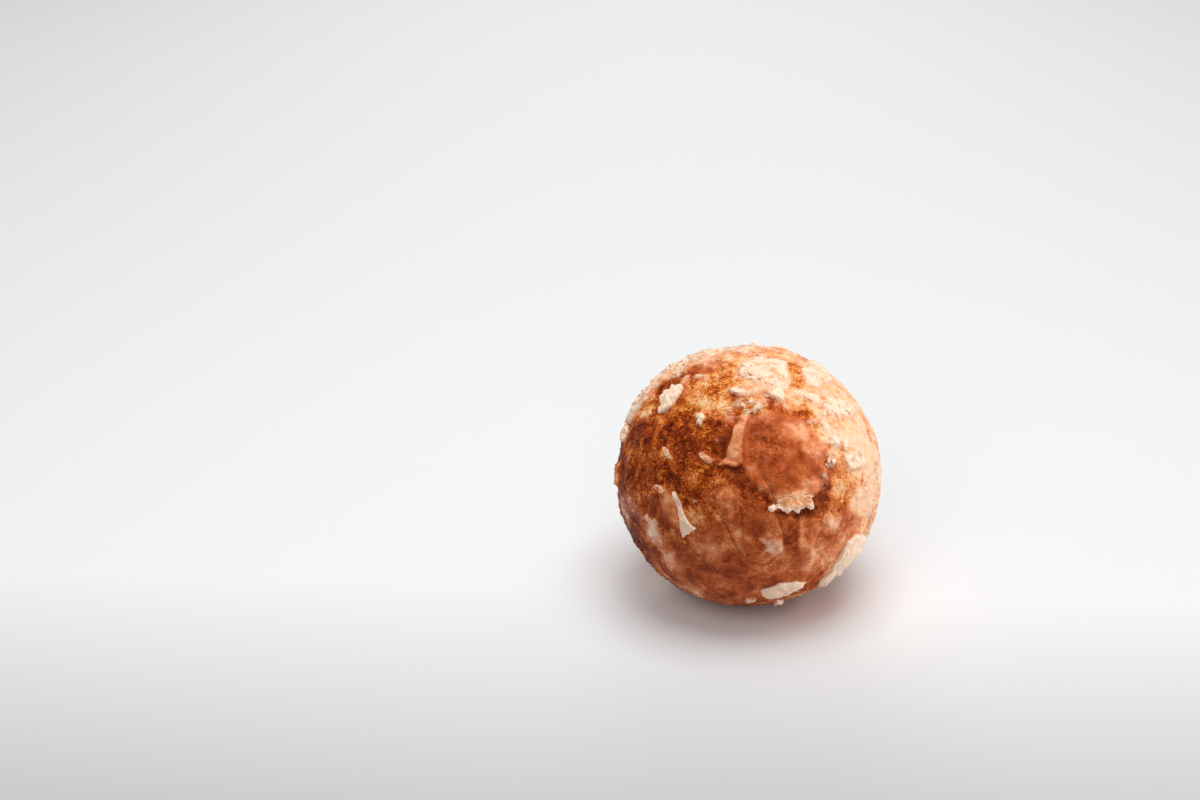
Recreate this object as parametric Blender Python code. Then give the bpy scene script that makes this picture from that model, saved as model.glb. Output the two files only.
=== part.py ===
"""A glazed doughnut hole: a fried ball of cake dough under broken flakes of dried sugar glaze.

The ball stands on a small flat spot at the origin, +Z up, and its shown side faces -Y.
Dough and glaze are one piece, so they are joined into one solid.
"""

import math
import random
from typing import NamedTuple

import bmesh
import bpy
from mathutils import Vector, noise

MM = 0.001

# The ball of dough, before its flat resting spot is cut
BALL_WIDTH = 37.6 * MM
BALL_DEPTH = 37.6 * MM
BALL_HEIGHT = 36.9 * MM
REST_DEPTH = 0.65 * MM
CENTRE_SHIFT_X = -0.07 * MM
CENTRE_SHIFT_Y = -0.18 * MM
MEAN_RADIUS = (BALL_WIDTH + BALL_DEPTH + BALL_HEIGHT) / 6

# Unevenness of the crust: depths, waves to one radius, and where in the noise each starts
SWELL_DEPTH, SWELL_WAVES, SWELL_START = 0.40 * MM, 1.5, (3.1, 0.4, 7.7)
LUMP_DEPTH, LUMP_WAVES, LUMP_START = 0.28 * MM, 4.2, (0.0, 5.2, 1.3)
BLISTER_DEPTH, BLISTER_WAVES, BLISTER_START = 0.14 * MM, 10.5, (9.4, 0.0, 2.6)
CRAG_DEPTH, CRAG_WAVES, CRAG_START, CRAG_WIDTH = 0.50 * MM, 2.4, (1.7, 8.8, 4.5), 0.10
CRACKED_START = (6.0, 2.0, 0.0)

# The crust evens out where it settles on its resting spot, between these heights in ball radii
EVEN_BELOW, UNEVEN_ABOVE = -0.96, -0.84

# The shown side is seen from the front, looking down by this angle. The corners of its flakes were
# measured on an enlarged view of it, where the ball has this middle and radius.
SHOWN_TILT = math.radians(26)
VIEW_MIDDLE = (774, 763)
VIEW_RADIUS = 680
LIMB_DEPTH = 0.02

# How deep a flake is sunk in the dough, and the height of its rim as a share of its thickness
SINK = 0.55 * MM
RIM_SHARE = 0.45

# How uneven the outline of a flake is, how far from its middle it snaps, in half lengths, and how unevenly
# the breaks lie round it, in shares of the step between two
RAGGED, OUTLINE_WAVES = 0.22, 2
BREAK_REACH = (0.68, 0.95)
BREAK_SPREAD = 0.3

# Scattered flakes: how many places are tried and how evenly they lie, their sizes, the clearance kept to the
# shown ones, and how far they stay behind the outline of the shown side. Their width is a share of their
# length, and their thickness is a base and a share of it.
SCATTER_TRIES = 120
SCATTER_SEED = 11
SCATTER_SPREAD = 0.07
SCATTER_LENGTH = (1.6 * MM, 7.4 * MM)
SCATTER_WIDTH = (0.4, 0.85)
SCATTER_TAPER = 0.5
SCATTER_THICK_BASE = 0.20 * MM
SCATTER_THICK_SHARE = 0.06
SCATTER_CLEARANCE = 0.3 * MM
SCATTER_BEHIND = 0.06
GOLDEN_ANGLE = math.pi * (3 - math.sqrt(5))
BARE_BELOW = -0.93

# Mesh density: cuts across a side of the cube that becomes the ball, and sectors and rings of a flake
BALL_CUTS = 51
SMALL_FLAKE_MESH, LARGE_FLAKE_MESH = (9, 6), (14, 8)
LARGE_FLAKE = 4.5 * MM
SHARD_RINGS = 6
TOP_SPREAD = 1.6
TRIANGLES = 11400
WELD_WITHIN = 0.004 * MM
MEND_ROUNDS = 5

CRUST_BROWN = (0.42, 0.13, 0.035, 1.0)


class Shard(NamedTuple):
    """A flake with a shape of its own: how thick it is, its middle and its corners on the enlarged view.

    Every corner can be seen from the middle.
    """

    thick: float
    middle: tuple
    corners: tuple


SHOWN_SHARDS = (
    # The smooth sheet in the middle, its pale torn flank, the scalloped lip that it ends in, and a crumb
    Shard(0.34 * MM, (915, 640), (
        (742, 712), (765, 735), (780, 780), (835, 812), (905, 850), (1000, 845), (1100, 820),
        (1132, 740), (1150, 650), (1110, 550), (1030, 470), (900, 440), (790, 460), (748, 490), (738, 600),
    )),
    Shard(0.42 * MM, (712, 610), (
        (735, 470), (760, 488), (744, 540), (740, 620), (744, 700), (715, 722), (632, 708), (660, 668),
        (682, 600), (700, 530),
    )),
    Shard(0.85 * MM, (1005, 860), (
        (915, 872), (958, 855), (1000, 838), (1060, 812), (1100, 812), (1100, 842), (1086, 866), (1099, 886),
        (1097, 915), (1084, 921), (1062, 908), (1050, 916), (1036, 919), (1022, 940), (1004, 930), (990, 921),
        (970, 938), (950, 931), (936, 918), (918, 918), (922, 896),
    )),
    Shard(0.60 * MM, (901, 917), ((875, 913), (904, 900), (926, 906), (918, 926), (890, 936), (877, 927))),
    # The ivory flake high on the left, and the chips between it and the sheet
    Shard(0.75 * MM, (370, 378), (
        (322, 388), (346, 346), (385, 314), (428, 305), (433, 326), (412, 370), (382, 420), (350, 450),
        (324, 463), (315, 441), (327, 412),
    )),
    Shard(0.50 * MM, (530, 485), ((508, 462), (538, 450), (556, 486), (536, 522), (514, 508))),
    Shard(0.55 * MM, (703, 345), ((660, 340), (690, 320), (740, 325), (746, 354), (712, 369), (670, 358))),
    Shard(0.60 * MM, (900, 354), ((852, 348), (900, 325), (934, 338), (941, 370), (900, 386), (862, 374))),
    # The broad glossy patches near the top
    Shard(0.42 * MM, (855, 244), (
        (716, 246), (738, 192), (800, 152), (900, 162), (950, 180), (966, 240), (984, 300), (940, 332),
        (870, 308), (800, 300), (742, 272),
    )),
    Shard(0.42 * MM, (1100, 240), (
        (1030, 192), (1090, 180), (1150, 212), (1178, 262), (1130, 302), (1062, 290), (1040, 240),
    )),
    Shard(0.46 * MM, (1190, 410), (
        (1128, 402), (1180, 360), (1240, 380), (1252, 430), (1202, 456), (1150, 445),
    )),
    # The flakes of the right side
    Shard(0.50 * MM, (1240, 598), ((1218, 578), (1250, 568), (1258, 618), (1232, 632))),
    Shard(0.45 * MM, (1293, 671), ((1250, 652), (1290, 640), (1332, 668), (1320, 702), (1270, 694))),
    Shard(0.70 * MM, (1268, 1180), (
        (1328, 1046), (1370, 1044), (1386, 1084), (1346, 1150), (1310, 1196), (1256, 1240), (1216, 1290),
        (1150, 1326), (1164, 1280), (1206, 1236), (1230, 1180), (1262, 1116), (1284, 1076),
    )),
    # The lens at the bottom and the chips round it
    Shard(0.60 * MM, (960, 1340), (
        (848, 1350), (872, 1378), (930, 1385), (1000, 1368), (1046, 1335), (1080, 1300), (1030, 1292),
        (950, 1300), (890, 1322),
    )),
    Shard(0.50 * MM, (806, 1391), ((774, 1396), (800, 1380), (831, 1374), (826, 1391), (796, 1411))),
    Shard(0.60 * MM, (946, 1420), ((922, 1420), (942, 1404), (976, 1410), (960, 1428), (930, 1439))),
    # The narrow shard left of the middle, with its flared, pointed end
    Shard(0.58 * MM, (456, 968), (
        (397, 848), (412, 842), (440, 904), (462, 956), (474, 974), (494, 1002), (523, 1030), (500, 1050),
        (465, 1071), (455, 1040), (448, 990), (440, 960), (425, 915), (402, 872),
    )),
)


class Flake(NamedTuple):
    """An oval flake, by its place in ball radii from the middle of the shown side.

    Its slant is in degrees as seen. It narrows by taper towards its leading end, and snaps is how many
    straight breaks it has.
    """

    across: float
    up: float
    slant: float
    length: float
    width: float
    thick: float
    taper: float = 0.0
    snaps: int = 5


SHOWN_FLAKES = (
    # The crinkled rim of glaze along the upper left outline, and the spike on top
    Flake(-0.93, 0.30, 80, 3.4 * MM, 2.4 * MM, 0.62 * MM),
    Flake(-0.85, 0.48, 62, 4.0 * MM, 2.8 * MM, 0.72 * MM),
    Flake(-0.72, 0.66, 46, 4.8 * MM, 2.8 * MM, 0.80 * MM),
    Flake(-0.54, 0.815, 34, 5.0 * MM, 2.8 * MM, 0.80 * MM),
    Flake(-0.31, 0.93, 16, 5.0 * MM, 2.8 * MM, 0.62 * MM),
    Flake(0.01, 0.985, 60, 1.9 * MM, 1.2 * MM, 0.60 * MM, 0.4, 3),
    # The pale film along the right outline
    Flake(0.955, -0.20, 81, 8.6 * MM, 3.6 * MM, 0.50 * MM, 0.2, 6),
    # Slanting streaks on the left
    Flake(-0.645, -0.113, -28, 2.4 * MM, 1.0 * MM, 0.42 * MM),
    Flake(-0.314, 0.13, -40, 2.5 * MM, 1.0 * MM, 0.42 * MM),
    Flake(-0.609, 0.166, -65, 2.0 * MM, 0.9 * MM, 0.40 * MM),
)


def to_the_viewer():
    return Vector((0.0, -math.cos(SHOWN_TILT), math.sin(SHOWN_TILT)))


def placed_as_seen(across, up, slant):
    """The direction from the ball's centre to a place on its shown side, and the tangent slanted so."""
    right, back = Vector((1.0, 0.0, 0.0)), to_the_viewer()
    above = back.cross(right)
    depth = math.sqrt(max(LIMB_DEPTH, 1 - across**2 - up**2))
    out = (right * across + above * up + back * depth).normalized()
    turn = math.radians(slant)
    lean = -(across * math.cos(turn) + up * math.sin(turn)) / depth
    along = right * math.cos(turn) + above * math.sin(turn) + back * lean
    return out, (along - out * along.dot(out)).normalized()


def crust_height(out):
    """How far the crust stands above the smooth ball along a unit direction."""
    swell = SWELL_DEPTH * noise.noise(out * SWELL_WAVES + Vector(SWELL_START))
    lump = LUMP_DEPTH * noise.noise(out * LUMP_WAVES + Vector(LUMP_START))
    blister = BLISTER_DEPTH * noise.noise(out * BLISTER_WAVES + Vector(BLISTER_START))
    crease = abs(noise.noise(out * CRAG_WAVES + Vector(CRAG_START))) / CRAG_WIDTH
    cracked = 0.5 + 0.5 * noise.noise(out * SWELL_WAVES + Vector(CRACKED_START))
    crag = max(0.0, 1 - crease) ** 2 * cracked
    uneven = min(1.0, max(0.0, (out.z - EVEN_BELOW) / (UNEVEN_ABOVE - EVEN_BELOW)))
    return uneven * (swell + lump + blister - CRAG_DEPTH * crag)


def crust_radius(out):
    """Distance from the ball's centre to the crust along a unit direction."""
    shares = (2 * out.x / BALL_WIDTH, 2 * out.y / BALL_DEPTH, 2 * out.z / BALL_HEIGHT)
    return 1 / math.hypot(*shares) + crust_height(out)


def dough_ball():
    """The bare ball: a cube divided finely and blown up to the crust."""
    bm = bmesh.new()
    bmesh.ops.create_cube(bm, size=2.0)
    bmesh.ops.subdivide_edges(bm, edges=bm.edges, cuts=BALL_CUTS, use_grid_fill=True)
    for vertex in bm.verts:
        out = Vector(math.tan(side * math.pi / 4) for side in vertex.co).normalized()
        vertex.co = out * crust_radius(out)
    bmesh.ops.triangulate(bm, faces=bm.faces)
    return object_from(bm, "doughnut_hole")


def break_lines(flake, seed):
    """The straight lines along which a flake has snapped, each by its direction and its distance."""
    draw = random.Random(seed)
    start = draw.uniform(0, math.tau)
    lines = []
    for count in range(flake.snaps):
        direction = start + math.tau * (count + draw.uniform(-BREAK_SPREAD, BREAK_SPREAD)) / flake.snaps
        lines.append((direction, draw.uniform(*BREAK_REACH)))
    return lines


def flake_outline(x, y, flake, lines, seed):
    """Where a point of the unit disc goes on a flake's plan, in metres along and across it."""
    angle = math.atan2(y, x)
    ahead = Vector((math.cos(angle), math.sin(angle), 0.0))
    reach = 1 + RAGGED * noise.noise(OUTLINE_WAVES * ahead + Vector((0.0, 0.0, seed)))
    for direction, distance in lines:
        facing = math.cos(angle - direction)
        if facing > 0:
            reach = min(reach, distance / facing)
    x, y = x * reach, y * reach
    narrow = 1 - flake.taper * (x + 1) / 2
    return x * flake.length / 2, y * narrow * flake.width / 2


def laid_on_crust(out, along, forward, sideways, lift):
    """The point that far along and across the curved crust from a place on it, and lifted above it."""
    offset = along * forward + out.cross(along) * sideways
    angle = offset.length / MEAN_RADIUS
    there = out * math.cos(angle) + offset.normalized() * math.sin(angle)
    return there * (crust_radius(there) + lift)


def lift_at(z, thick):
    """How high a point of the unit sphere goes: its upper half is the flake, its lower half is sunk."""
    rim = thick * RIM_SHARE
    if z < 0:
        return rim + (SINK + rim) * z
    return rim + (thick - rim) * min(1.0, TOP_SPREAD * z)


def oval_flake(name, out, along, flake, seed):
    bm = bmesh.new()
    lines = break_lines(flake, seed)
    sectors, rings = LARGE_FLAKE_MESH if flake.length > LARGE_FLAKE else SMALL_FLAKE_MESH
    bmesh.ops.create_uvsphere(bm, u_segments=sectors, v_segments=rings, radius=1.0)
    for vertex in bm.verts:
        x, y, z = vertex.co
        forward, sideways = flake_outline(x, y, flake, lines, seed)
        vertex.co = laid_on_crust(out, along, forward, sideways, lift_at(z, flake.thick))
    bmesh.ops.recalc_face_normals(bm, faces=bm.faces)
    return object_from(bm, name)


def as_seen(x, y):
    """A place on the enlarged view, in ball radii from the middle of the shown side."""
    return Vector(((x - VIEW_MIDDLE[0]) / VIEW_RADIUS, (VIEW_MIDDLE[1] - y) / VIEW_RADIUS))


def edge_point(corners, turned):
    """The point that far round a ring of corners, where a whole turn is 1 and every side counts the same."""
    side, share = divmod(turned % 1 * len(corners), 1)
    return corners[int(side)].lerp(corners[(int(side) + 1) % len(corners)], share)


def shaped_flake(name, shard):
    """A flake with the outline of a shard as it is seen."""
    bm = bmesh.new()
    middle = as_seen(*shard.middle)
    corners = [as_seen(*corner) for corner in shard.corners]
    bmesh.ops.create_uvsphere(bm, u_segments=2 * len(corners), v_segments=SHARD_RINGS, radius=1.0)
    for vertex in bm.verts:
        x, y, z = vertex.co
        edge = edge_point(corners, math.atan2(y, x) / math.tau)
        place = middle.lerp(edge, math.hypot(x, y))
        out, _ = placed_as_seen(place.x, place.y, 0)
        vertex.co = out * (crust_radius(out) + lift_at(z, shard.thick))
    bmesh.ops.recalc_face_normals(bm, faces=bm.faces)
    return object_from(bm, name)


def scattered_places():
    """Places spread by the golden angle over the sides, the back and the top, clear of the shown side."""
    draw = random.Random(SCATTER_SEED)
    viewer = to_the_viewer()
    taken = [(placed_as_seen(flake.across, flake.up, 0)[0], flake.length / 2) for flake in SHOWN_FLAKES]
    for count in range(SCATTER_TRIES):
        height = 1 - 2 * (count + 0.5) / SCATTER_TRIES
        ring = math.sqrt(1 - height * height)
        angle = count * GOLDEN_ANGLE
        out = Vector((ring * math.cos(angle), ring * math.sin(angle), height))
        out = (out + Vector(draw.gauss(0, SCATTER_SPREAD) for _ in range(3))).normalized()
        along = out.orthogonal().normalized()
        turned = draw.uniform(0, math.pi)
        along = along * math.cos(turned) + out.cross(along) * math.sin(turned)
        length = SCATTER_LENGTH[0] + (SCATTER_LENGTH[1] - SCATTER_LENGTH[0]) * draw.random() ** 2
        width = length * draw.uniform(*SCATTER_WIDTH)
        thick = SCATTER_THICK_BASE + SCATTER_THICK_SHARE * length
        flake = Flake(0, 0, 0, length, width, thick, draw.uniform(0, SCATTER_TAPER))
        near = any(
            MEAN_RADIUS * out.angle(other) < reach + length / 2 + SCATTER_CLEARANCE for other, reach in taken
        )
        if near or out.z < BARE_BELOW or out.dot(viewer) > -SCATTER_BEHIND:
            continue
        yield out, along, flake


def object_from(bm, name):
    mesh = bpy.data.meshes.new(name)
    bm.to_mesh(mesh)
    bm.free()
    made = bpy.data.objects.new(name, mesh)
    bpy.context.scene.collection.objects.link(made)
    return made


def collect(name, objects):
    """Moves objects into a new collection of their own."""
    collection = bpy.data.collections.new(name)
    bpy.context.scene.collection.children.link(collection)
    for each in objects:
        bpy.context.scene.collection.objects.unlink(each)
        collection.objects.link(each)
    return collection


def settle(target):
    """Applies all modifiers of an object to its mesh."""
    graph = bpy.context.evaluated_depsgraph_get()
    shaped = bpy.data.meshes.new_from_object(target.evaluated_get(graph))
    target.modifiers.clear()
    target.data = shaped


def fuse_flakes(ball, flakes):
    """Joins the flakes to the ball in one union and removes them."""
    collection = collect("glaze_flakes", flakes)
    union = ball.modifiers.new("fused flakes", "BOOLEAN")
    union.operation = "UNION"
    union.operand_type = "COLLECTION"
    union.collection = collection
    union.solver = "EXACT"
    settle(ball)
    for flake in list(collection.objects):
        bpy.data.objects.remove(flake)
    bpy.data.collections.remove(collection)


def joined_to(vertex):
    """All vertices of the shell that a vertex belongs to."""
    reached, ahead = {vertex}, [vertex]
    while ahead:
        for edge in ahead.pop().link_edges:
            for other in edge.verts:
                if other not in reached:
                    reached.add(other)
                    ahead.append(other)
    return reached


def mend(ball):
    """Takes out the few faces that the union leaves folded, closes the gaps and keeps one shell."""
    bm = bmesh.new()
    bm.from_mesh(ball.data)
    bmesh.ops.remove_doubles(bm, verts=bm.verts, dist=WELD_WITHIN)
    bmesh.ops.triangulate(bm, faces=bm.faces)
    for _ in range(MEND_ROUNDS):
        folded = {vertex for edge in bm.edges if len(edge.link_faces) != 2 for vertex in edge.verts}
        if not folded:
            break
        bmesh.ops.delete(bm, geom=list(folded), context="VERTS")
        filled = bmesh.ops.holes_fill(bm, edges=[edge for edge in bm.edges if edge.is_boundary])
        bmesh.ops.triangulate(bm, faces=filled["faces"])
    top = max(bm.verts, key=lambda vertex: vertex.co.z)
    bmesh.ops.delete(bm, geom=list(set(bm.verts) - joined_to(top)), context="VERTS")
    bm.to_mesh(ball.data)
    bm.free()


def thin_out(ball):
    """Leaves the triangles where the relief needs them."""
    thin = ball.modifiers.new("fewer faces", "DECIMATE")
    thin.ratio = TRIANGLES / len(ball.data.polygons)
    settle(ball)


def press_flat(ball):
    """Cuts the flat spot that the ball rests on and closes it."""
    bm = bmesh.new()
    bm.from_mesh(ball.data)
    floor = Vector((0, 0, REST_DEPTH - BALL_HEIGHT / 2))
    everything = bm.verts[:] + bm.edges[:] + bm.faces[:]
    bmesh.ops.bisect_plane(bm, geom=everything, plane_co=floor, plane_no=(0, 0, -1), clear_outer=True)
    bmesh.ops.holes_fill(bm, edges=[edge for edge in bm.edges if edge.is_boundary])
    bmesh.ops.triangulate(bm, faces=bm.faces)
    bmesh.ops.recalc_face_normals(bm, faces=bm.faces)
    bm.to_mesh(ball.data)
    bm.free()


def crust_material():
    material = bpy.data.materials.new("fried crust")
    material.use_nodes = True
    shader = material.node_tree.nodes["Principled BSDF"]
    shader.inputs["Base Color"].default_value = CRUST_BROWN
    shader.inputs["Roughness"].default_value = 0.4
    shader.inputs["Metallic"].default_value = 0.0
    return material


def build():
    for old in list(bpy.data.objects):
        bpy.data.objects.remove(old)
    ball = dough_ball()
    flakes = [shaped_flake(f"shard_{number}", shard) for number, shard in enumerate(SHOWN_SHARDS)]
    for number, flake in enumerate(SHOWN_FLAKES):
        out, along = placed_as_seen(flake.across, flake.up, flake.slant)
        flakes.append(oval_flake(f"oval_flake_{number}", out, along, flake, number))
    for number, (out, along, flake) in enumerate(scattered_places(), start=len(SHOWN_FLAKES)):
        flakes.append(oval_flake(f"scattered_flake_{number}", out, along, flake, number))
    fuse_flakes(ball, flakes)
    mend(ball)
    thin_out(ball)
    press_flat(ball)
    ball.data.materials.clear()
    ball.data.materials.append(crust_material())
    ball.data.shade_smooth()
    ball.location = (CENTRE_SHIFT_X, CENTRE_SHIFT_Y, BALL_HEIGHT / 2 - REST_DEPTH)
    collect("doughnut hole", [ball])


build()
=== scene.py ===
"""The looks of a glazed doughnut hole: fried crust, sheets and flakes of dried glaze, crumbs and grains."""

import math
import random
from types import SimpleNamespace
from typing import NamedTuple

import bmesh
import bpy
import numpy as np
from bpy.props import FloatProperty, FloatVectorProperty, IntProperty, PointerProperty
from mathutils import Matrix, Vector, noise


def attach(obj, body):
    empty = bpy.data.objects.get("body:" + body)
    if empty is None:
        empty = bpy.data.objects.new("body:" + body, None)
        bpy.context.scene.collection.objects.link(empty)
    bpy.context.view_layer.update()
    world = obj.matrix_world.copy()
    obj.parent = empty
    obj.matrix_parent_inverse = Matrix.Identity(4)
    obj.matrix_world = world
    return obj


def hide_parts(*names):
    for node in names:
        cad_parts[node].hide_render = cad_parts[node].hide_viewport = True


bl_info = {
    "name": "Glazed Doughnut Hole",
    "version": (1, 0, 0),
    "blender": (4, 5, 0),
    "location": "3D View > Sidebar > Doughnut Hole",
    "description": "Makes a fried ball of cake dough under cracked sugar glaze, and its studio",
    "category": "Mesh",
}

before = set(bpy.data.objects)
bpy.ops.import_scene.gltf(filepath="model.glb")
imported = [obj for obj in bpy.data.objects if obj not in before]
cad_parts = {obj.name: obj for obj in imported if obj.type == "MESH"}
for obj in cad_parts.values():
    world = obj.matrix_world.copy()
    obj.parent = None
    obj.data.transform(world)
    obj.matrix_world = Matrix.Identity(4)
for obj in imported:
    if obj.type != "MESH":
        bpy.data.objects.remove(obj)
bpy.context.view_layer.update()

MM = 0.001
BODY = "root"
NODE = "doughnut_hole"

# The ball of dough, as the solid has it
BALL_WIDTH = 37.6 * MM
BALL_DEPTH = 37.6 * MM
BALL_HEIGHT = 36.9 * MM
REST_DEPTH = 0.65 * MM
CENTRE = Vector((-0.07 * MM, -0.18 * MM, BALL_HEIGHT / 2 - REST_DEPTH))
MEAN_RADIUS = (BALL_WIDTH + BALL_DEPTH + BALL_HEIGHT) / 6

# Unevenness of the crust: depths, waves to one radius, and where each pattern starts
SWELL_DEPTH, SWELL_WAVES, SWELL_START = 0.40 * MM, 1.5, Vector((3.1, 0.4, 7.7))
LUMP_DEPTH, LUMP_WAVES, LUMP_START = 0.28 * MM, 4.2, Vector((0.0, 5.2, 1.3))
BLISTER_DEPTH, BLISTER_WAVES, BLISTER_START = 0.14 * MM, 10.5, Vector((9.4, 0.0, 2.6))
CRAG_DEPTH, CRAG_WAVES, CRAG_START, CRAG_WIDTH = 0.50 * MM, 2.4, Vector((1.7, 8.8, 4.5)), 0.10
CRACKED_START = Vector((6.0, 2.0, 0.0))
EVEN_BELOW, UNEVEN_ABOVE = -0.96, -0.84

# Fractal noise: how fast its layers weaken, how much finer each is than the last, and how many there are
CLOUDY = (1.0, 2.0, 3)
WRINKLY = (0.8, 2.0, 3)

# How strong a finer pattern laid on a coarser one is
FINE_SHARE = 0.6

# The shown side is seen from the front, looking down by this angle. The corners of its flakes and films
# were measured on an enlarged view of it, where the ball has this middle and radius.
SHOWN_TILT = math.radians(26)
VIEW_MIDDLE = (774, 763)
VIEW_RADIUS = 680
LIMB_DEPTH = 0.02

# Flakes: how deep one is sunk, and its section as shares of its width and its thickness
SINK = 0.55 * MM
TOP_RINGS, TOP_REACH, DOMED = 10, 0.90, 0.22
TOP = tuple(
    (TOP_REACH * ring / TOP_RINGS, 1 - DOMED * (ring / TOP_RINGS) ** 2) for ring in range(TOP_RINGS + 1)
)
SECTION = TOP + ((0.95, 0.70), (0.99, 0.45), (1.0, 0.20), (1.0, 0.0), (0.9, -1.0), (0.0, -1.0))

# How a flake breaks: its straight breaks, the slow waves of its outline, and two finer ones of its edge
BREAK_REACH = (0.68, 0.95)
BREAK_SPREAD = 0.3
RAGGED, OUTLINE_WAVES = 0.22, 2
CHIPPED, CHIP_WAVES = 0.09, 5
CRISP, CRISP_WAVES = 0.06, 17

# Steps along each side of a shard, and round an oval flake
SHARD_STEPS = 9
FLAKE_SECTORS, SCATTER_SECTORS = 80, 56

# The wrinkles of a flake's top, and how much whiter it is on them and at its edge, and less where it thins
WRINKLE_WAVES, WRINKLED = 26, 0.25
WRINKLE_WHITE = 1.6 / MM
EDGE_WHITE, EVEN_WHITE = 0.30, 0.5
SLOPE_WHITE = 0.32
FLAKE_MILK, FLAKE_TONE = 0.70, 0.25

# Scattered flakes
SCATTER_TRIES = 120
SCATTER_SEED = 11
SCATTER_SPREAD = 0.07
SCATTER_LENGTH = (1.6 * MM, 7.4 * MM)
SCATTER_WIDTH = (0.4, 0.85)
SCATTER_TAPER = 0.5
SCATTER_THICK_BASE = 0.20 * MM
SCATTER_THICK_SHARE = 0.06
SCATTER_SNAPS = 5
SCATTER_WHITE = (0.4, 1.0)
SCATTER_CRINKLE = 0.10 * MM
SCATTER_CLEARANCE = 0.3 * MM
SCATTER_BEHIND = 0.06
GOLDEN_ANGLE = math.pi * (3 - math.sqrt(5))
BARE_BELOW = -0.93

# The camera: the ball's middle and width in the photograph's frame, in its pixels
FRAME_WIDTH, FRAME_HEIGHT = 1200, 800
BALL_PIXEL = (748, 476)
BALL_PIXELS_WIDE = 263
LENS = 85.0
SENSOR = 36.0

# Where along the depth of the floor its painted shade, greyer towards the viewer, fades out
GREY_UNTIL, WHITE_FROM = -62 * MM, -2 * MM


class Shard(NamedTuple):
    """A flake with a shape of its own: its thickness, its middle and its corners on the enlarged view.

    White is from 0, clear, to 1, solid sugar, and crinkle is how high the wrinkles of its top are. Slope is
    how much thinner and clearer it is at its upper edge than at its lower one, as seen.
    """

    thick: float
    white: float
    crinkle: float
    middle: tuple
    corners: tuple
    slope: float = 0.0


SHOWN_SHARDS = (
    # The scalloped lip that the smooth sheet ends in, and a crumb by it
    Shard(0.85 * MM, 0.66, 0.02 * MM, (1005, 860), ((915, 872), (958, 855), (1000, 838), (1060, 812),
          (1100, 812), (1100, 842), (1086, 866), (1099, 886), (1097, 915), (1084, 921), (1062, 908),
          (1050, 916), (1036, 919), (1022, 940), (1004, 930), (990, 921), (970, 938), (950, 931),
          (936, 918), (918, 918), (922, 896)), 0.95),
    Shard(0.60 * MM, 0.85, 0.05 * MM, (901, 917), ((875, 913), (904, 900), (926, 906), (918, 926),
          (890, 936), (877, 927))),
    # The ivory flake high on the left
    Shard(0.75 * MM, 0.95, 0.08 * MM, (370, 378), ((322, 388), (346, 346), (385, 314), (428, 305),
          (433, 326), (412, 370), (382, 420), (350, 450), (324, 463), (315, 441), (327, 412))),
    # The large flake low on the right
    Shard(0.70 * MM, 1.00, 0.12 * MM, (1268, 1180), ((1328, 1046), (1370, 1044), (1386, 1084), (1346, 1150),
          (1310, 1196), (1256, 1240), (1216, 1290), (1150, 1326), (1164, 1280), (1206, 1236), (1230, 1180),
          (1262, 1116), (1284, 1076))),
    # The lens at the bottom and the chip by it
    Shard(0.60 * MM, 0.98, 0.07 * MM, (960, 1340), ((848, 1350), (872, 1378), (930, 1385), (1000, 1368),
          (1046, 1335), (1080, 1300), (1030, 1292), (950, 1300), (890, 1322)), 0.4),
    Shard(0.60 * MM, 0.85, 0.08 * MM, (946, 1420), ((922, 1420), (942, 1404), (976, 1410), (960, 1428),
          (930, 1439))),
    # The narrow shard left of the middle, with its flared, pointed end
    Shard(0.58 * MM, 0.92, 0.04 * MM, (456, 968), ((397, 848), (412, 842), (440, 904), (462, 956),
          (474, 974), (494, 1002), (523, 1030), (500, 1050), (465, 1071), (455, 1040), (448, 990),
          (440, 960), (425, 915), (402, 872)), 0.6),
)


class Flake(NamedTuple):
    """An oval flake. Its place is in ball radii from the middle of the shown side.

    Its slant is in degrees, as seen. It narrows by taper towards its leading end, and snaps is how many
    straight breaks it has.
    """

    across: float
    up: float
    slant: float
    length: float
    width: float
    thick: float
    taper: float = 0.0
    snaps: int = 5
    white: float = 0.75
    crinkle: float = 0.22 * MM
    slope: float = 0.0


SHOWN_FLAKES = (
    # The crinkled rim of glaze along the upper left outline, and the spike on top
    Flake(-0.93, 0.30, 80, 3.4 * MM, 2.4 * MM, 0.62 * MM),
    Flake(-0.85, 0.48, 62, 4.0 * MM, 2.8 * MM, 0.72 * MM),
    Flake(-0.72, 0.66, 46, 4.8 * MM, 2.8 * MM, 0.80 * MM),
    Flake(-0.54, 0.815, 34, 5.0 * MM, 2.8 * MM, 0.80 * MM),
    Flake(-0.31, 0.93, 16, 5.0 * MM, 2.8 * MM, 0.62 * MM),
    Flake(0.01, 0.985, 60, 1.9 * MM, 1.2 * MM, 0.60 * MM, 0.4, 3),
    # The pale film along the right outline
    Flake(0.955, -0.20, 81, 8.6 * MM, 3.6 * MM, 0.50 * MM, 0.2, 6, 0.5, 0.05 * MM),
    # Slanting streaks on the left
    Flake(-0.645, -0.113, -28, 2.4 * MM, 1.0 * MM, 0.30 * MM, 0.0, 5, 0.48, 0.10 * MM),
    Flake(-0.314, 0.13, -40, 2.5 * MM, 1.0 * MM, 0.26 * MM, 0.0, 5, 0.44, 0.10 * MM),
    Flake(-0.609, 0.166, -65, 2.0 * MM, 0.9 * MM, 0.28 * MM, 0.0, 5, 0.50, 0.10 * MM),
)


class Film(NamedTuple):
    """A stretch of the shown side with glaze on it or bare crust, by its corners on the enlarged view.

    White is how much dried sugar shows in it, milk how cloudy the glaze is, tone how much lighter the crust
    is, lift how thick it lies, in millimetres, and fade how wide its edge is, on the view.
    """

    white: float
    milk: float
    tone: float
    lift: float
    fade: float
    corners: tuple


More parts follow.
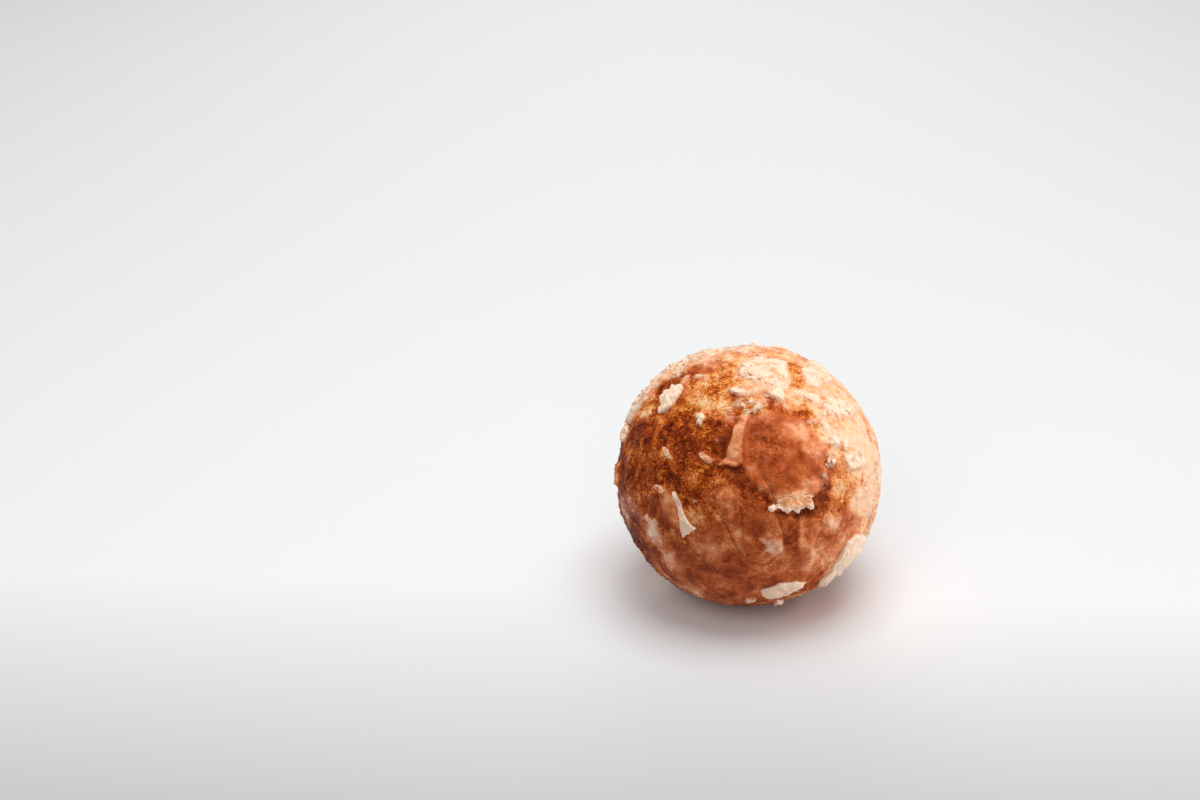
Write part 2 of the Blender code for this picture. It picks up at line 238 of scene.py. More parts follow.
FILMS = (
    # Bare crust: dark and grainy on the left, orange above it
    Film(0.05, 0.0, -0.09, 0.0, 80, ((70, 560), (200, 500), (330, 480), (520, 400), (640, 520), (640, 760),
         (720, 860), (560, 940), (430, 860), (300, 900), (150, 860), (70, 720))),
    Film(0.16, 0.1, 0.14, 0.0, 60, ((330, 480), (400, 330), (560, 200), (700, 170), (720, 300), (660, 430),
         (520, 440))),
    # Cloudy glaze over the top, broken glaze at the top right, and cloudy glaze down the right side
    Film(0.38, 0.85, 0.26, 0.05, 40, ((480, 170), (640, 70), (900, 60), (1120, 120), (1000, 180),
         (720, 150), (560, 200))),
    Film(0.39, 0.76, 0.34, 0.08, 50, ((700, 160), (960, 150), (1180, 180), (1340, 310), (1460, 560),
         (1300, 480), (1120, 470), (960, 400), (820, 390), (700, 280))),
    Film(0.46, 0.88, 0.44, 0.08, 60, ((1130, 480), (1330, 430), (1460, 600), (1490, 800), (1440, 1060),
         (1330, 1000), (1270, 900), (1330, 760), (1250, 640), (1130, 600))),
    Film(0.06, 0.45, 0.2, 0.0, 40, ((1130, 720), (1280, 680), (1320, 760), (1280, 870), (1180, 880))),
    Film(0.44, 1.0, 0.26, 0.12, 34, ((1240, 1040), (1330, 1010), (1370, 1060), (1300, 1180), (1220, 1280),
         (1130, 1330), (1160, 1230), (1215, 1140))),
    # Painted shade darkening the glaze under the lip, and the smooth, reddish glaze of the bottom
    Film(0.08, 0.3, -0.08, 0.0, 40, ((1100, 830), (1200, 880), (1160, 960), (1040, 960), (900, 950),
         (860, 900))),
    Film(0.09, 0.7, -0.04, 0.05, 60, ((560, 870), (800, 850), (900, 960), (1100, 960), (1280, 960),
         (1250, 1150), (1100, 1300), (900, 1400), (700, 1450), (500, 1400), (330, 1250), (300, 1100),
         (520, 1080))),
    Film(0.18, 0.85, 0.14, 0.08, 50, ((1120, 980), (1280, 900), (1400, 1000), (1340, 1060), (1220, 1200),
         (1080, 1260), (1060, 1130))),
    Film(0.2, 0.3, -0.08, 0.0, 40, ((100, 870), (300, 870), (330, 1000), (400, 1130), (330, 1240),
         (180, 1150), (100, 1000))),
    # Painted shade: darker crust along the lower left outline
    Film(0.12, 0.1, -0.22, 0.0, 30, ((80, 640), (150, 660), (160, 860), (240, 1100), (330, 1250),
         (250, 1260), (110, 1000))),
    Film(0.36, 0.6, -0.08, 0.05, 25, ((110, 890), (190, 870), (230, 960), (170, 1060), (125, 980))),
    # Painted shade: crust darkened along the lower left edge of the sheet, under its flank and under its lip
    Film(0.02, 0.15, -0.18, -0.1, 16, ((640, 712), (740, 712), (790, 800), (900, 860), (890, 900),
         (820, 880), (740, 810), (690, 740))),
    Film(0.02, 0.25, -0.2, -0.05, 14, ((890, 920), (1000, 930), (1110, 900), (1120, 950), (1020, 975),
         (900, 955))),
    # The smooth sheet in the middle, the haze on it, its pale torn flank and where its lip starts
    Film(0.04, 0.95, -0.05, 0.34, 5, ((742, 712), (765, 735), (780, 780), (835, 812), (905, 850),
         (1000, 845), (1100, 820), (1132, 740), (1150, 650), (1110, 550), (1030, 470), (900, 440),
         (790, 460), (748, 490), (738, 600))),
    Film(0.03, 0.4, -0.01, 0.3, 50, ((800, 600), (900, 560), (960, 620), (900, 700), (800, 700))),
    Film(0.12, 0.9, 0.1, 0.3, 50, ((960, 470), (1100, 520), (1150, 640), (1050, 640), (940, 560))),
    Film(0.1, 1.0, 0.2, 0.42, 5, ((735, 470), (760, 488), (744, 540), (740, 620), (744, 700), (715, 722),
         (632, 708), (660, 668), (682, 600), (700, 530))),
    Film(0.24, 1.0, 0.16, 0.32, 22, ((890, 860), (1000, 810), (1115, 770), (1115, 860), (920, 890))),
    # Solid patches of white sugar at the top right, partly painted highlight, with the bare streak between
    # two of them
    Film(0.68, 0.58, 0.32, 0.3, 18, ((716, 246), (738, 192), (800, 152), (900, 162), (950, 180), (966, 240),
         (984, 300), (940, 332), (870, 308), (800, 300), (742, 272))),
    Film(0.68, 0.6, 0.34, 0.3, 16, ((1030, 192), (1090, 172), (1150, 200), (1178, 262), (1130, 322),
         (1062, 300), (1040, 240))),
    Film(0.58, 0.62, 0.36, 0.24, 18, ((995, 345), (1060, 335), (1150, 352), (1240, 372), (1318, 400),
         (1300, 460), (1232, 462), (1150, 452), (1070, 396))),
    Film(0.8, 0.6, 0.34, 0.28, 16, ((1138, 392), (1180, 360), (1240, 380), (1252, 430), (1202, 456),
         (1150, 445))),
    Film(0.05, 0.3, 0.22, 0.0, 9, ((975, 165), (1010, 170), (1035, 240), (1045, 310), (990, 300),
         (968, 220))),
    # The crinkled rim along the upper left outline and the brown groove inside it, bare crust darkened
    # further with painted shade
    Film(0.56, 0.7, 0.22, 0.42, 14, ((90, 560), (110, 430), (190, 360), (290, 290), (350, 210), (430, 160),
         (560, 90), (600, 150), (470, 210), (400, 270), (330, 340), (250, 420), (190, 500))),
    Film(0.05, 0.1, -0.18, -0.22, 9, ((296, 350), (350, 290), (425, 245), (440, 266), (370, 320),
         (312, 372))),
    # Darker and oranger places in the lower half, and a crumb on the left outline
    Film(0.03, 0.45, -0.16, 0.0, 24, ((975, 1000), (1030, 1000), (1042, 1080), (1022, 1150), (972, 1140),
         (960, 1060))),
    Film(0.03, 0.7, -0.14, 0.0, 24, ((452, 1165), (515, 1160), (540, 1230), (520, 1290), (470, 1270))),
    Film(0.03, 0.3, 0.04, 0.0, 16, ((1090, 1262), (1168, 1244), (1182, 1290), (1150, 1345), (1075, 1372),
         (1084, 1310))),
    Film(0.03, 0.15, 0.03, 0.0, 26, ((560, 892), (640, 882), (740, 900), (750, 960), (680, 985),
         (580, 970))),
    Film(0.03, 0.4, -0.12, 0.0, 24, ((724, 740), (790, 830), (850, 900), (800, 930), (730, 880),
         (700, 800))),
    Film(0.12, 0.0, 0.14, 0.45, 10, ((60, 715), (118, 715), (122, 800), (100, 835), (60, 830))),
    # Soft pale blotches and streaks
    Film(0.52, 0.95, 0.16, 0.14, 22, ((275, 985), (312, 1000), (346, 1055), (376, 1095), (366, 1132),
         (330, 1135), (300, 1100), (282, 1050))),
    Film(0.44, 1.0, 0.14, 0.12, 28, ((350, 1150), (425, 1160), (446, 1235), (400, 1258), (362, 1215))),
    Film(0.56, 1.0, 0.18, 0.14, 28, ((845, 1072), (908, 1058), (960, 1120), (934, 1162), (865, 1145))),
    Film(0.3, 1.0, 0.16, 0.08, 34, ((825, 1160), (905, 1160), (920, 1210), (860, 1222))),
    Film(0.48, 1.0, 0.18, 0.1, 26, ((1160, 975), (1245, 950), (1255, 1000), (1190, 1025))),
    Film(0.46, 0.9, 0.12, 0.08, 22, ((490, 1320), (560, 1330), (565, 1385), (510, 1390))),
    Film(0.26, 1.0, 0.14, 0.1, 12, ((1030, 960), (1062, 960), (1068, 1060), (1050, 1150), (1034, 1080))),
    Film(0.2, 1.0, 0.12, 0.06, 40, ((520, 1080), (640, 1090), (700, 1150), (620, 1180), (540, 1150))),
    Film(0.1, 0.8, 0.1, 0.03, 50, ((640, 840), (740, 850), (740, 950), (660, 1000), (610, 930))),
    Film(0.44, 0.9, 0.12, 0.08, 14, ((295, 818), (345, 812), (380, 842), (372, 856), (320, 862))),
    Film(0.4, 0.9, 0.12, 0.1, 14, ((520, 640), (560, 650), (600, 690), (592, 712), (548, 696))),
    Film(0.46, 0.9, 0.14, 0.12, 12, ((345, 620), (384, 640), (386, 686), (356, 684))),
    Film(0.4, 0.9, 0.14, 0.12, 14, ((396, 268), (450, 246), (470, 270), (420, 304))),
    Film(0.5, 0.7, 0.2, 0.12, 16, ((488, 250), (545, 234), (558, 270), (510, 292))),
    Film(0.6, 0.6, 0.2, 0.15, 14, ((630, 92), (760, 96), (765, 130), (640, 132))),
    Film(0.55, 0.6, 0.2, 0.12, 14, ((1050, 470), (1105, 476), (1100, 505), (1062, 504))),
    Film(0.65, 0.6, 0.2, 0.3, 8, ((508, 462), (538, 450), (556, 486), (536, 522), (514, 508))),
    Film(0.62, 0.8, 0.2, 0.35, 9, ((660, 340), (690, 320), (740, 325), (746, 354), (712, 369), (670, 358))),
    Film(0.66, 0.8, 0.2, 0.45, 12, ((852, 348), (900, 325), (934, 338), (941, 370), (900, 386),
         (862, 374))),
    Film(0.8, 0.6, 0.3, 0.35, 8, ((1218, 578), (1250, 568), (1258, 618), (1232, 632))),
    Film(0.62, 0.6, 0.2, 0.3, 9, ((774, 1396), (800, 1380), (831, 1374), (826, 1391), (796, 1411))),
    Film(0.66, 0.9, 0.34, 0.2, 16, ((1226, 640), (1310, 640), (1352, 690), (1300, 735), (1250, 700))),
    Film(0.7, 0.8, 0.3, 0.25, 10, ((1166, 560), (1204, 556), (1208, 594), (1172, 598))),
)

# What the rest of the ball has on average, by how much it varies, and its pattern by waves and start
BASE_WHITE, WHITE_SPREAD, WHITE_PATTERN = 0.24, 0.55, (3.0, 1.0)
BASE_MILK, MILK_SPREAD, MILK_PATTERN = 0.35, 0.90, (2.4, 2.0)
BASE_TONE, TONE_SPREAD, TONE_PATTERN = 0.00, 0.45, (2.8, 3.0)
MOTTLED, MOTTLE_PATTERN = 0.16, (7.0, 6.0)

# Films: where round the ball they end, and how far and in which patterns their edges wander
FILMS_END = (-0.20, 0.05)
WANDER, FADE_WANDER = 4, 0.7
WANDER_PATTERNS = (9.0, 4.0), (26.0, 8.0)

# Lumps in the white sugar: how much they vary it, where they begin, and how much milk calms them
WHITE_LUMPS, LUMPY_WHITE, MILK_CALMS = 0.42, (0.10, 0.34), 0.7
LUMP_PATTERNS = (11.0, 5.0), (21.0, 9.0)

# How high white sugar stands, and how white it is where it begins to and where it fully does
WHITE_LIFT, LIFTED_WHITE = 0.22 * MM, (0.25, 0.75)

# Grain of the crust: the share of it that shows through cloudy glaze, its detail and its roughness
LEAST_GRAIN = 0.30
GRAIN_DETAIL, GRAIN_ROUGHNESS = 3.0, 0.65


class Bits(NamedTuple):
    """Bits strewn over the ball: none where a field has the low value, most where it has the high one."""

    name: str
    field: str
    low: float
    high: float
    flatness: float
    subdivisions: int
    seed: int


CRUMBS = Bits("crust_crumbs", "milk", 0.75, 0.15, 0.7, 1, 5)
CHIPS = Bits("sugar_chips", "white", 0.35, 0.90, 0.25, 2, 3)
GRAINS = Bits("sugar_grains", "white", 0.16, 0.80, 0.8, 1, 8)

# Bits: their patches, how small and how large they are by shares of their size, and how they are bent
PATCH_WAVES, PATCH_EDGE = 480.0, (0.40, 0.62)
SMALLEST_BIT, THINNEST_BIT = (0.40, 0.35), 0.7
LARGEST_BIT, THICKEST_BIT = (1.5, 1.0), 1.5
BENT, BEND_WAVES = 0.9, 2600.0

# Patterns of the crust's look: name, waves to a millimetre, detail and roughness
PATTERNS = (
    ("broad", 0.22, 2.0, 0.6),
    ("blotch", 0.50, 2.0, 0.5),
    ("lumps", 0.95, 2.0, 0.5),
    ("mottle", 1.6, 4.0, 0.66),
    ("fine", 5.0, 2.0, 0.7),
)
CRYSTALS = 3.4

# Colours from dark to light, each with its place from 0 to 1
CRUST_COLOURS = (
    (0.14, (0.11, 0.012, 0.0004)),
    (0.38, (0.31, 0.036, 0.0012)),
    (0.60, (0.62, 0.118, 0.006)),
    (0.80, (0.94, 0.36, 0.055)),
    (1.0, (1.0, 0.70, 0.38)),
)
GLAZED_COLOURS = (
    (0.25, (0.33, 0.055, 0.008)),
    (0.50, (0.54, 0.120, 0.030)),
    (0.68, (0.75, 0.29, 0.140)),
    (0.88, (0.95, 0.57, 0.38)),
)
SUGAR_COLOURS = (0.05, (0.82, 0.44, 0.26)), (0.66, (0.97, 0.71, 0.53))
BIT_COLOURS = (0.38, (0.82, 0.44, 0.26)), (0.60, (0.97, 0.71, 0.54))
BIT_WAVES, BIT_DETAIL, BIT_ROUGHNESS = 900.0, 3.0, 0.30

# How much cloudy glaze hides of the grain, of the clouds and of the crust's own colour
MILK_HIDES_GRAIN, MILK_HIDES_CLOUDS, MILK_COVERS = 0.85, 0.40, 0.80

# How strongly the white field counts, from where sugar shows, and how steeply
WHITE_GAIN, SUGAR_FROM, SUGAR_STEEP = 1.5, 0.50, 2.0

# The shader's own values
MEAN_ROUGHNESS = 0.46
SPECULAR, COAT_ROUGHNESS = 0.08, 0.15
GLOW_RADIUS, GLOW_SCALE = (1.0, 0.36, 0.12), 0.8 * MM
CRUST_GLOW, CRUST_BUMP = 0.25, 0.16 * MM
FLAKE_GLOW, FLAKE_BUMP = 0.12, 0.08 * MM
FLOOR_ROUGHNESS, FLOOR_SPECULAR = 0.7, 0.2

# Kinds of node socket
FLOAT = "NodeSocketFloat"
COLOUR = "NodeSocketColor"
MATERIAL = "NodeSocketMaterial"
GEOMETRY = "NodeSocketGeometry"

# Soft square lights that face the ball: name, watts, side, place, and what alone they fall on
LIGHTS = (
    ("overhead", 1.64, 0.34, (0.04, -0.02, 0.50), None),
    ("side", 1.32, 0.36, (0.40, -0.03, 0.14), "ball"),
    ("sparkle", 0.30, 0.05, (-0.10, -0.05, 0.45), "ball"),
    ("back", 0.36, 0.25, (-0.24, 0.26, 0.30), "ball"),
    ("floor fill", 1.35, 0.50, (-0.08, -0.50, 0.40), "floor"),
    ("floor wash", 0.20, 0.20, (-0.03, 0.36, 0.20), "floor"),
)
ROOM_LIGHT = 0.30


def length_setting(name, description, default):
    return FloatProperty(name=name, description=description, default=default, unit="LENGTH")


def count_setting(name, default):
    return FloatProperty(name=name, description="How many to a square metre", default=default)


def colour_setting(name, description, default):
    return FloatVectorProperty(name=name, description=description, default=default, subtype="COLOR", size=3)


class BallSettings(bpy.types.PropertyGroup):
    cuts: IntProperty(name="Cuts", description="Cuts across each side of the blown up cube", default=119)
    grain_depth: length_setting("Grain Depth", "Height of the grain of the bare crust", 0.32 * MM)
    grain_size: length_setting("Grain Size", "Width of one grain of the crust", 0.8 * MM)


class SugarSettings(bpy.types.PropertyGroup):
    crumbs: count_setting("Crumbs", 2200000.0)
    crumb_size: length_setting("Crumb Size", "Width of a crumb", 0.34 * MM)
    chips: count_setting("Chips", 500000.0)
    chip_size: length_setting("Chip Size", "Width of a chip", 0.80 * MM)
    grains: count_setting("Grains", 2200000.0)
    grain_size: length_setting("Grain Size", "Width of a grain", 0.27 * MM)


class StageSettings(bpy.types.PropertyGroup):
    floor_width: length_setting("Floor Width", "Side of the floor", 2.4)
    # The front colour is greyer: painted shade on the floor in front of the ball
    front_colour: colour_setting("Front Colour", "The floor in front of the ball", (0.56, 0.56, 0.56))
    back_colour: colour_setting("Back Colour", "The floor beside and behind the ball", (0.86, 0.87, 0.88))


def to_the_viewer():
    return Vector((0.0, -math.cos(SHOWN_TILT), math.sin(SHOWN_TILT)))


def view_axes():
    """Right, up and towards the viewer, as the shown side is seen."""
    right, back = Vector((1.0, 0.0, 0.0)), to_the_viewer()
    return right, back.cross(right), back


def placed_as_seen(across, up, slant):
    """The direction from the ball's centre to a place as seen, and the tangent that looks slanted so."""
    right, above, back = view_axes()
    depth = math.sqrt(max(LIMB_DEPTH, 1 - across**2 - up**2))
    out = (right * across + above * up + back * depth).normalized()
    turn = math.radians(slant)
    lean = -(across * math.cos(turn) + up * math.sin(turn)) / depth
    along = right * math.cos(turn) + above * math.sin(turn) + back * lean
    return out, (along - out * along.dot(out)).normalized()


def crust_height(out):
    """How far the crust stands above the smooth ball along a unit direction."""
    swell = noise.noise(out * SWELL_WAVES + SWELL_START)
    lump = noise.noise(out * LUMP_WAVES + LUMP_START)
    blister = noise.noise(out * BLISTER_WAVES + BLISTER_START)
    crease = abs(noise.noise(out * CRAG_WAVES + CRAG_START)) / CRAG_WIDTH
    cracked = 0.5 + 0.5 * noise.noise(out * SWELL_WAVES + CRACKED_START)
    crag = max(0.0, 1 - crease) ** 2 * cracked
    share = min(1.0, max(0.0, (out.z - EVEN_BELOW) / (UNEVEN_ABOVE - EVEN_BELOW)))
    return share * (SWELL_DEPTH * swell + LUMP_DEPTH * lump + BLISTER_DEPTH * blister - CRAG_DEPTH * crag)


def crust_radius(out):
    """Distance from the ball's centre to the crust along a unit direction."""
    shares = (2 * out.x / BALL_WIDTH, 2 * out.y / BALL_DEPTH, 2 * out.z / BALL_HEIGHT)
    return 1 / math.hypot(*shares) + crust_height(out)


def smoothstep(low, high, value):
    share = np.clip((value - low) / (high - low), 0, 1)
    return share * share * (3 - 2 * share)


def uneven(directions, waves, start):
    """Cloudy noise along unit directions, about from -0.5 to 0.5."""
    shift = Vector((start, 0.0, start))
    return np.array([noise.fractal(Vector(out) * waves + shift, *CLOUDY) for out in directions])


def doubly_uneven(directions, coarse, fine):
    """Cloudy noise with a finer and weaker one on it."""
    return uneven(directions, *coarse) + FINE_SHARE * uneven(directions, *fine)


def depth_inside(x, y, corners):
    """How far inside a ring of corners points of the enlarged view are, negative outside."""
    nearest = np.full(len(x), np.inf)
    inside = np.zeros(len(x), bool)
    for (x0, y0), (x1, y1) in zip(corners, corners[1:] + corners[:1]):
        run, rise = x1 - x0, y1 - y0
        share = np.clip(((x - x0) * run + (y - y0) * rise) / (run * run + rise * rise), 0, 1)
        nearest = np.minimum(nearest, np.hypot(x - x0 - share * run, y - y0 - share * rise))
        crossed = (y0 > y) != (y1 > y)
        inside ^= crossed & (x < x0 + (y - y0) * run / (rise or 1))
    return np.where(inside, nearest, -nearest)


def bare_glaze(directions):
    """How white, cloudy, light and thick the glaze is along unit directions, away from the films."""
    return np.stack([
        BASE_WHITE + WHITE_SPREAD * uneven(directions, *WHITE_PATTERN),
        BASE_MILK + MILK_SPREAD * uneven(directions, *MILK_PATTERN),
        BASE_TONE + TONE_SPREAD * uneven(directions, *TONE_PATTERN),
        np.zeros(len(directions)),
    ])


def lay_films(fields, directions):
    """Works the films into the fields of the glaze, one over the other."""
    right, above, back = (np.array(axis) for axis in view_axes())
    x = VIEW_MIDDLE[0] + VIEW_RADIUS * (directions @ right)
    y = VIEW_MIDDLE[1] - VIEW_RADIUS * (directions @ above)
    facing = smoothstep(*FILMS_END, directions @ back)
    ragged = doubly_uneven(directions, *WANDER_PATTERNS)
    for film in FILMS:
        inside = depth_inside(x, y, film.corners) + (WANDER + FADE_WANDER * film.fade) * ragged
        share = facing * smoothstep(-film.fade, film.fade, inside)
        wanted = np.array((film.white, film.milk, film.tone, film.lift * MM))[:, None]
        fields += share * (wanted - fields)


def glaze_over(directions):
    """How white, how cloudy, how light and how thick the glaze on the crust is along unit directions."""
    fields = bare_glaze(directions)
    lay_films(fields, directions)
    white, milk, tone, lift = fields
    lumps = doubly_uneven(directions, *LUMP_PATTERNS)
    calm = 1 - MILK_CALMS * np.clip(milk, 0, 1)
    white += WHITE_LUMPS * lumps * smoothstep(*LUMPY_WHITE, white) * calm
    lift += WHITE_LIFT * smoothstep(*LIFTED_WHITE, white)
    tone += MOTTLED * uneven(directions, *MOTTLE_PATTERN)
    return fields


def blown_up_cube(cuts):
    """A cube divided finely and blown up to the crust, with its glaze as attributes and relief."""
    bm = bmesh.new()
    bmesh.ops.create_cube(bm, size=2.0)
    bmesh.ops.subdivide_edges(bm, edges=bm.edges, cuts=cuts, use_grid_fill=True)
    for vertex in bm.verts:
        vertex.co = Vector(math.tan(side * math.pi / 4) for side in vertex.co).normalized()
    mesh = bpy.data.meshes.new("dough")
    bm.to_mesh(mesh)
    bm.free()
    directions = points_of(mesh)
    white, milk, tone, lift = glaze_over(directions)
    radii = np.array([crust_radius(Vector(out)) for out in directions]) + lift
    place(mesh, directions * radii[:, None] + np.array(CENTRE))
    for name, values in (("white", white), ("milk", milk), ("tone", tone)):
        store(mesh, name, values)
    return mesh


def points_of(mesh):
    points = np.empty(len(mesh.vertices) * 3)
    mesh.vertices.foreach_get("co", points)
    return points.reshape(-1, 3)


def place(mesh, points):
    """Moves the vertices of a mesh, none of them under the floor."""
    points[:, 2] = np.maximum(points[:, 2], 0.0)
    mesh.vertices.foreach_set("co", points.ravel())
    mesh.update()


def store(mesh, name, values):
    """Keeps a number for each vertex as an attribute, which materials and nodes read by its name."""
    attribute = mesh.attributes.new(name, "FLOAT", "POINT")
    attribute.data.foreach_set("value", values)


def shown(name, mesh):
    """A new piece at the origin."""
    piece = bpy.data.objects.new(name, mesh)
    bpy.context.scene.collection.objects.link(piece)
    return piece


def break_lines(flake, seed):
    """The straight lines along which a flake has snapped, each by its direction and its distance."""
    draw = random.Random(seed)
    start = draw.uniform(0, math.tau)
    lines = []
    for count in range(flake.snaps):
        direction = start + math.tau * (count + draw.uniform(-BREAK_SPREAD, BREAK_SPREAD)) / flake.snaps
        lines.append((direction, draw.uniform(*BREAK_REACH)))
    return lines


def fine_break(angle, seed):
    """The fine unevenness of a broken edge, as a share of the flake's reach."""
    ahead = Vector((math.cos(angle), math.sin(angle), 0.0))
    start = Vector((0, 0, seed))
    coarse = noise.noise(ahead * CHIP_WAVES + start)
    return 1 + CHIPPED * coarse + CRISP * noise.noise(ahead * CRISP_WAVES + start)


def oval_edge(out, along, flake, seed, sectors):
    """Unit directions round the edge of an oval flake."""
    lines = break_lines(flake, seed)
    for count in range(sectors):
        angle = math.tau * count / sectors
        ahead = Vector((OUTLINE_WAVES * math.cos(angle), OUTLINE_WAVES * math.sin(angle), seed))
        reach = 1 + RAGGED * noise.noise(ahead)
        for direction, distance in lines:
            facing = math.cos(angle - direction)
            if facing > 0:
                reach = min(reach, distance / facing)
        reach *= fine_break(angle, seed)
        x, y = reach * math.cos(angle), reach * math.sin(angle)
        narrow = 1 - flake.taper * (x + 1) / 2
        offset = along * (x * flake.length / 2) + out.cross(along) * (y * narrow * flake.width / 2)
        turned = offset.length / MEAN_RADIUS
        yield out * math.cos(turned) + offset.normalized() * math.sin(turned)


def as_seen(x, y):
    """A place on the enlarged view, in ball radii from the middle of the shown side."""
    return Vector(((x - VIEW_MIDDLE[0]) / VIEW_RADIUS, (VIEW_MIDDLE[1] - y) / VIEW_RADIUS))


def shard_edge(shard, seed):
    """Unit directions round the edge of a shard."""
    middle = as_seen(*shard.middle)
    corners = [as_seen(*corner) for corner in shard.corners]
    for start, end in zip(corners, corners[1:] + corners[:1]):
        for step in range(SHARD_STEPS):
            edge = start.lerp(end, step / SHARD_STEPS) - middle
            spot = middle + edge * fine_break(math.atan2(edge.y, edge.x), seed)
            yield placed_as_seen(spot.x, spot.y, 0)[0]


def flake_points(out, edge, flake, seed):
    """Points of a flake from its middle out over its edge and into the crust, and how white each is."""
    above = view_axes()[1]
    heights = [rim.dot(above) for rim in edge]
    start = Vector((seed, 0.0, 0.0))
    for reach, height in SECTION:
        for rim in edge:
            there = out.lerp(rim, reach).normalized()
            wrinkle = noise.fractal(there * WRINKLE_WAVES + start, *WRINKLY)
            raised = (there.dot(above) - min(heights)) / (max(heights) - min(heights))
            thinner = flake.slope * min(1.0, max(0.0, raised))
            lift = height * flake.thick * (1 + WRINKLED * wrinkle - thinner) + flake.crinkle * wrinkle
            if height < 0:
                lift = height * SINK
            whiter = WRINKLE_WHITE * flake.crinkle * wrinkle + EDGE_WHITE * (reach**3 - EVEN_WHITE)
            whiter -= SLOPE_WHITE * thinner
            yield there * (crust_radius(there) + lift) + CENTRE, flake.white + whiter


def flakes_mesh(placed):
    """One mesh of many flakes, each given by its middle, its edge and its looks."""
    points, faces, whites = [], [], []
    for seed, out, edge, flake in placed:
        first, sectors = len(points), len(edge)
        for point, white in flake_points(out, edge, flake, seed):
            points.append(point)
            whites.append(white)
        rings = len(SECTION)
        turns_left = edge[0].cross(edge[1]).dot(out) > 0
        for ring in range(rings - 1):
            for count in range(sectors):
                a = first + ring * sectors + count
                b = first + ring * sectors + (count + 1) % sectors
                face = (a, a + sectors, b + sectors, b)
                faces.append(face if turns_left else face[::-1])
    mesh = bpy.data.meshes.new("flakes")
    mesh.from_pydata(points, [], faces)
    place(mesh, points_of(mesh))
    store(mesh, "white", whites)
    store(mesh, "milk", [FLAKE_MILK] * len(points))
    store(mesh, "tone", [FLAKE_TONE] * len(points))
    return mesh


def shown_places():
    for seed, shard in enumerate(SHOWN_SHARDS):
        middle = as_seen(*shard.middle)
        yield seed, placed_as_seen(middle.x, middle.y, 0)[0], list(shard_edge(shard, seed)), shard
    for seed, flake in enumerate(SHOWN_FLAKES):
        out, along = placed_as_seen(flake.across, flake.up, flake.slant)
        yield seed, out, list(oval_edge(out, along, flake, seed, FLAKE_SECTORS)), flake


def spread_directions(draw):
    """Unit directions spread evenly by the golden angle, each moved a little by chance."""
    for count in range(SCATTER_TRIES):
        height = 1 - 2 * (count + 0.5) / SCATTER_TRIES
        ring = math.sqrt(1 - height * height)
        angle = count * GOLDEN_ANGLE
        out = Vector((ring * math.cos(angle), ring * math.sin(angle), height))
        yield (out + Vector(draw.gauss(0, SCATTER_SPREAD) for _ in range(3))).normalized()


def scattered_places():
    """Flakes over the sides, the back and the top, clear of those of the shown side."""
    draw, clear = random.Random(SCATTER_SEED), random.Random(SCATTER_SEED + 1)
    viewer = to_the_viewer()
    taken = [(placed_as_seen(flake.across, flake.up, 0)[0], flake.length / 2) for flake in SHOWN_FLAKES]
    seed = len(SHOWN_FLAKES)
    for out in spread_directions(draw):
        along = out.orthogonal().normalized()
        turned = draw.uniform(0, math.pi)
        along = along * math.cos(turned) + out.cross(along) * math.sin(turned)
        length = SCATTER_LENGTH[0] + (SCATTER_LENGTH[1] - SCATTER_LENGTH[0]) * draw.random() ** 2
        width = length * draw.uniform(*SCATTER_WIDTH)
        thick = SCATTER_THICK_BASE + SCATTER_THICK_SHARE * length
        taper = draw.uniform(0, SCATTER_TAPER)
        near = any(
            MEAN_RADIUS * out.angle(other) < reach + length / 2 + SCATTER_CLEARANCE for other, reach in taken
        )
        if near or out.z < BARE_BELOW or out.dot(viewer) > -SCATTER_BEHIND:
            continue
        white = clear.uniform(*SCATTER_WHITE)
        flake = Flake(0, 0, 0, length, width, thick, taper, SCATTER_SNAPS, white, SCATTER_CRINKLE)
        yield seed, out, list(oval_edge(out, along, flake, seed, SCATTER_SECTORS)), flake
        seed += 1


def grow(host, tree, material, **sizes):
    """Runs a Geometry Nodes tree on an object and returns the plain mesh that it makes."""
    modifier = host.modifiers.new(tree.name, "NODES")
    modifier.node_group = tree
    values = {"Material": material, **sizes}
    for item in tree.interface.items_tree:
        if item.item_type == "SOCKET" and item.in_out == "INPUT" and item.name in values:
            modifier[item.identifier] = values[item.name]
    graph = bpy.context.evaluated_depsgraph_get()
    mesh = bpy.data.meshes.new_from_object(host.evaluated_get(graph))
    host.modifiers.remove(modifier)
    return mesh


def new_tree(name, kind, inputs, outputs):
    """A node tree with named inputs and outputs, given by label and kind of socket."""
    tree = bpy.data.node_groups.new(name, kind)
    for in_out, sockets in (("INPUT", inputs), ("OUTPUT", outputs)):
        for label, socket in sockets:
            tree.interface.new_socket(label, in_out=in_out, socket_type=socket)
    return tree, tree.nodes.new("NodeGroupInput"), tree.nodes.new("NodeGroupOutput")


def geometry_tree(name, *inputs):
    """A Geometry Nodes tree with inputs for its sizes and its material."""
    inputs = (("Geometry", GEOMETRY), *inputs, ("Material", MATERIAL))
    return new_tree(name, "GeometryNodeTree", inputs, (("Geometry", GEOMETRY),))


def feed(node, values):
    """Sets constants or links for the inputs of a node."""
    for key, value in dict(values).items():
        if isinstance(value, bpy.types.NodeSocket):
            node.id_data.links.new(value, node.inputs[key])
        else:
            node.inputs[key].default_value = value


def add_node(tree, kind, values=(), **settings):
    node = tree.nodes.new(kind)
    for name, value in settings.items():
        setattr(node, name, value)
    feed(node, values)
    return node


def add(tree, kind, values=(), **settings):
    """The first output of a new node."""
    return add_node(tree, kind, values, **settings).outputs[0]


def calc(tree, operation, *values, clamp=False):
    """The output of a Math node on numbers and sockets."""
    return add(tree, "ShaderNodeMath", enumerate(values), operation=operation, use_clamp=clamp)


def clouds(tree, scale, detail, roughness=0.5, **values):
    """A noise texture, from 0 to 1."""
    values = {"Scale": scale, "Detail": detail, "Roughness": roughness, **values}
    return add(tree, "ShaderNodeTexNoise", values)


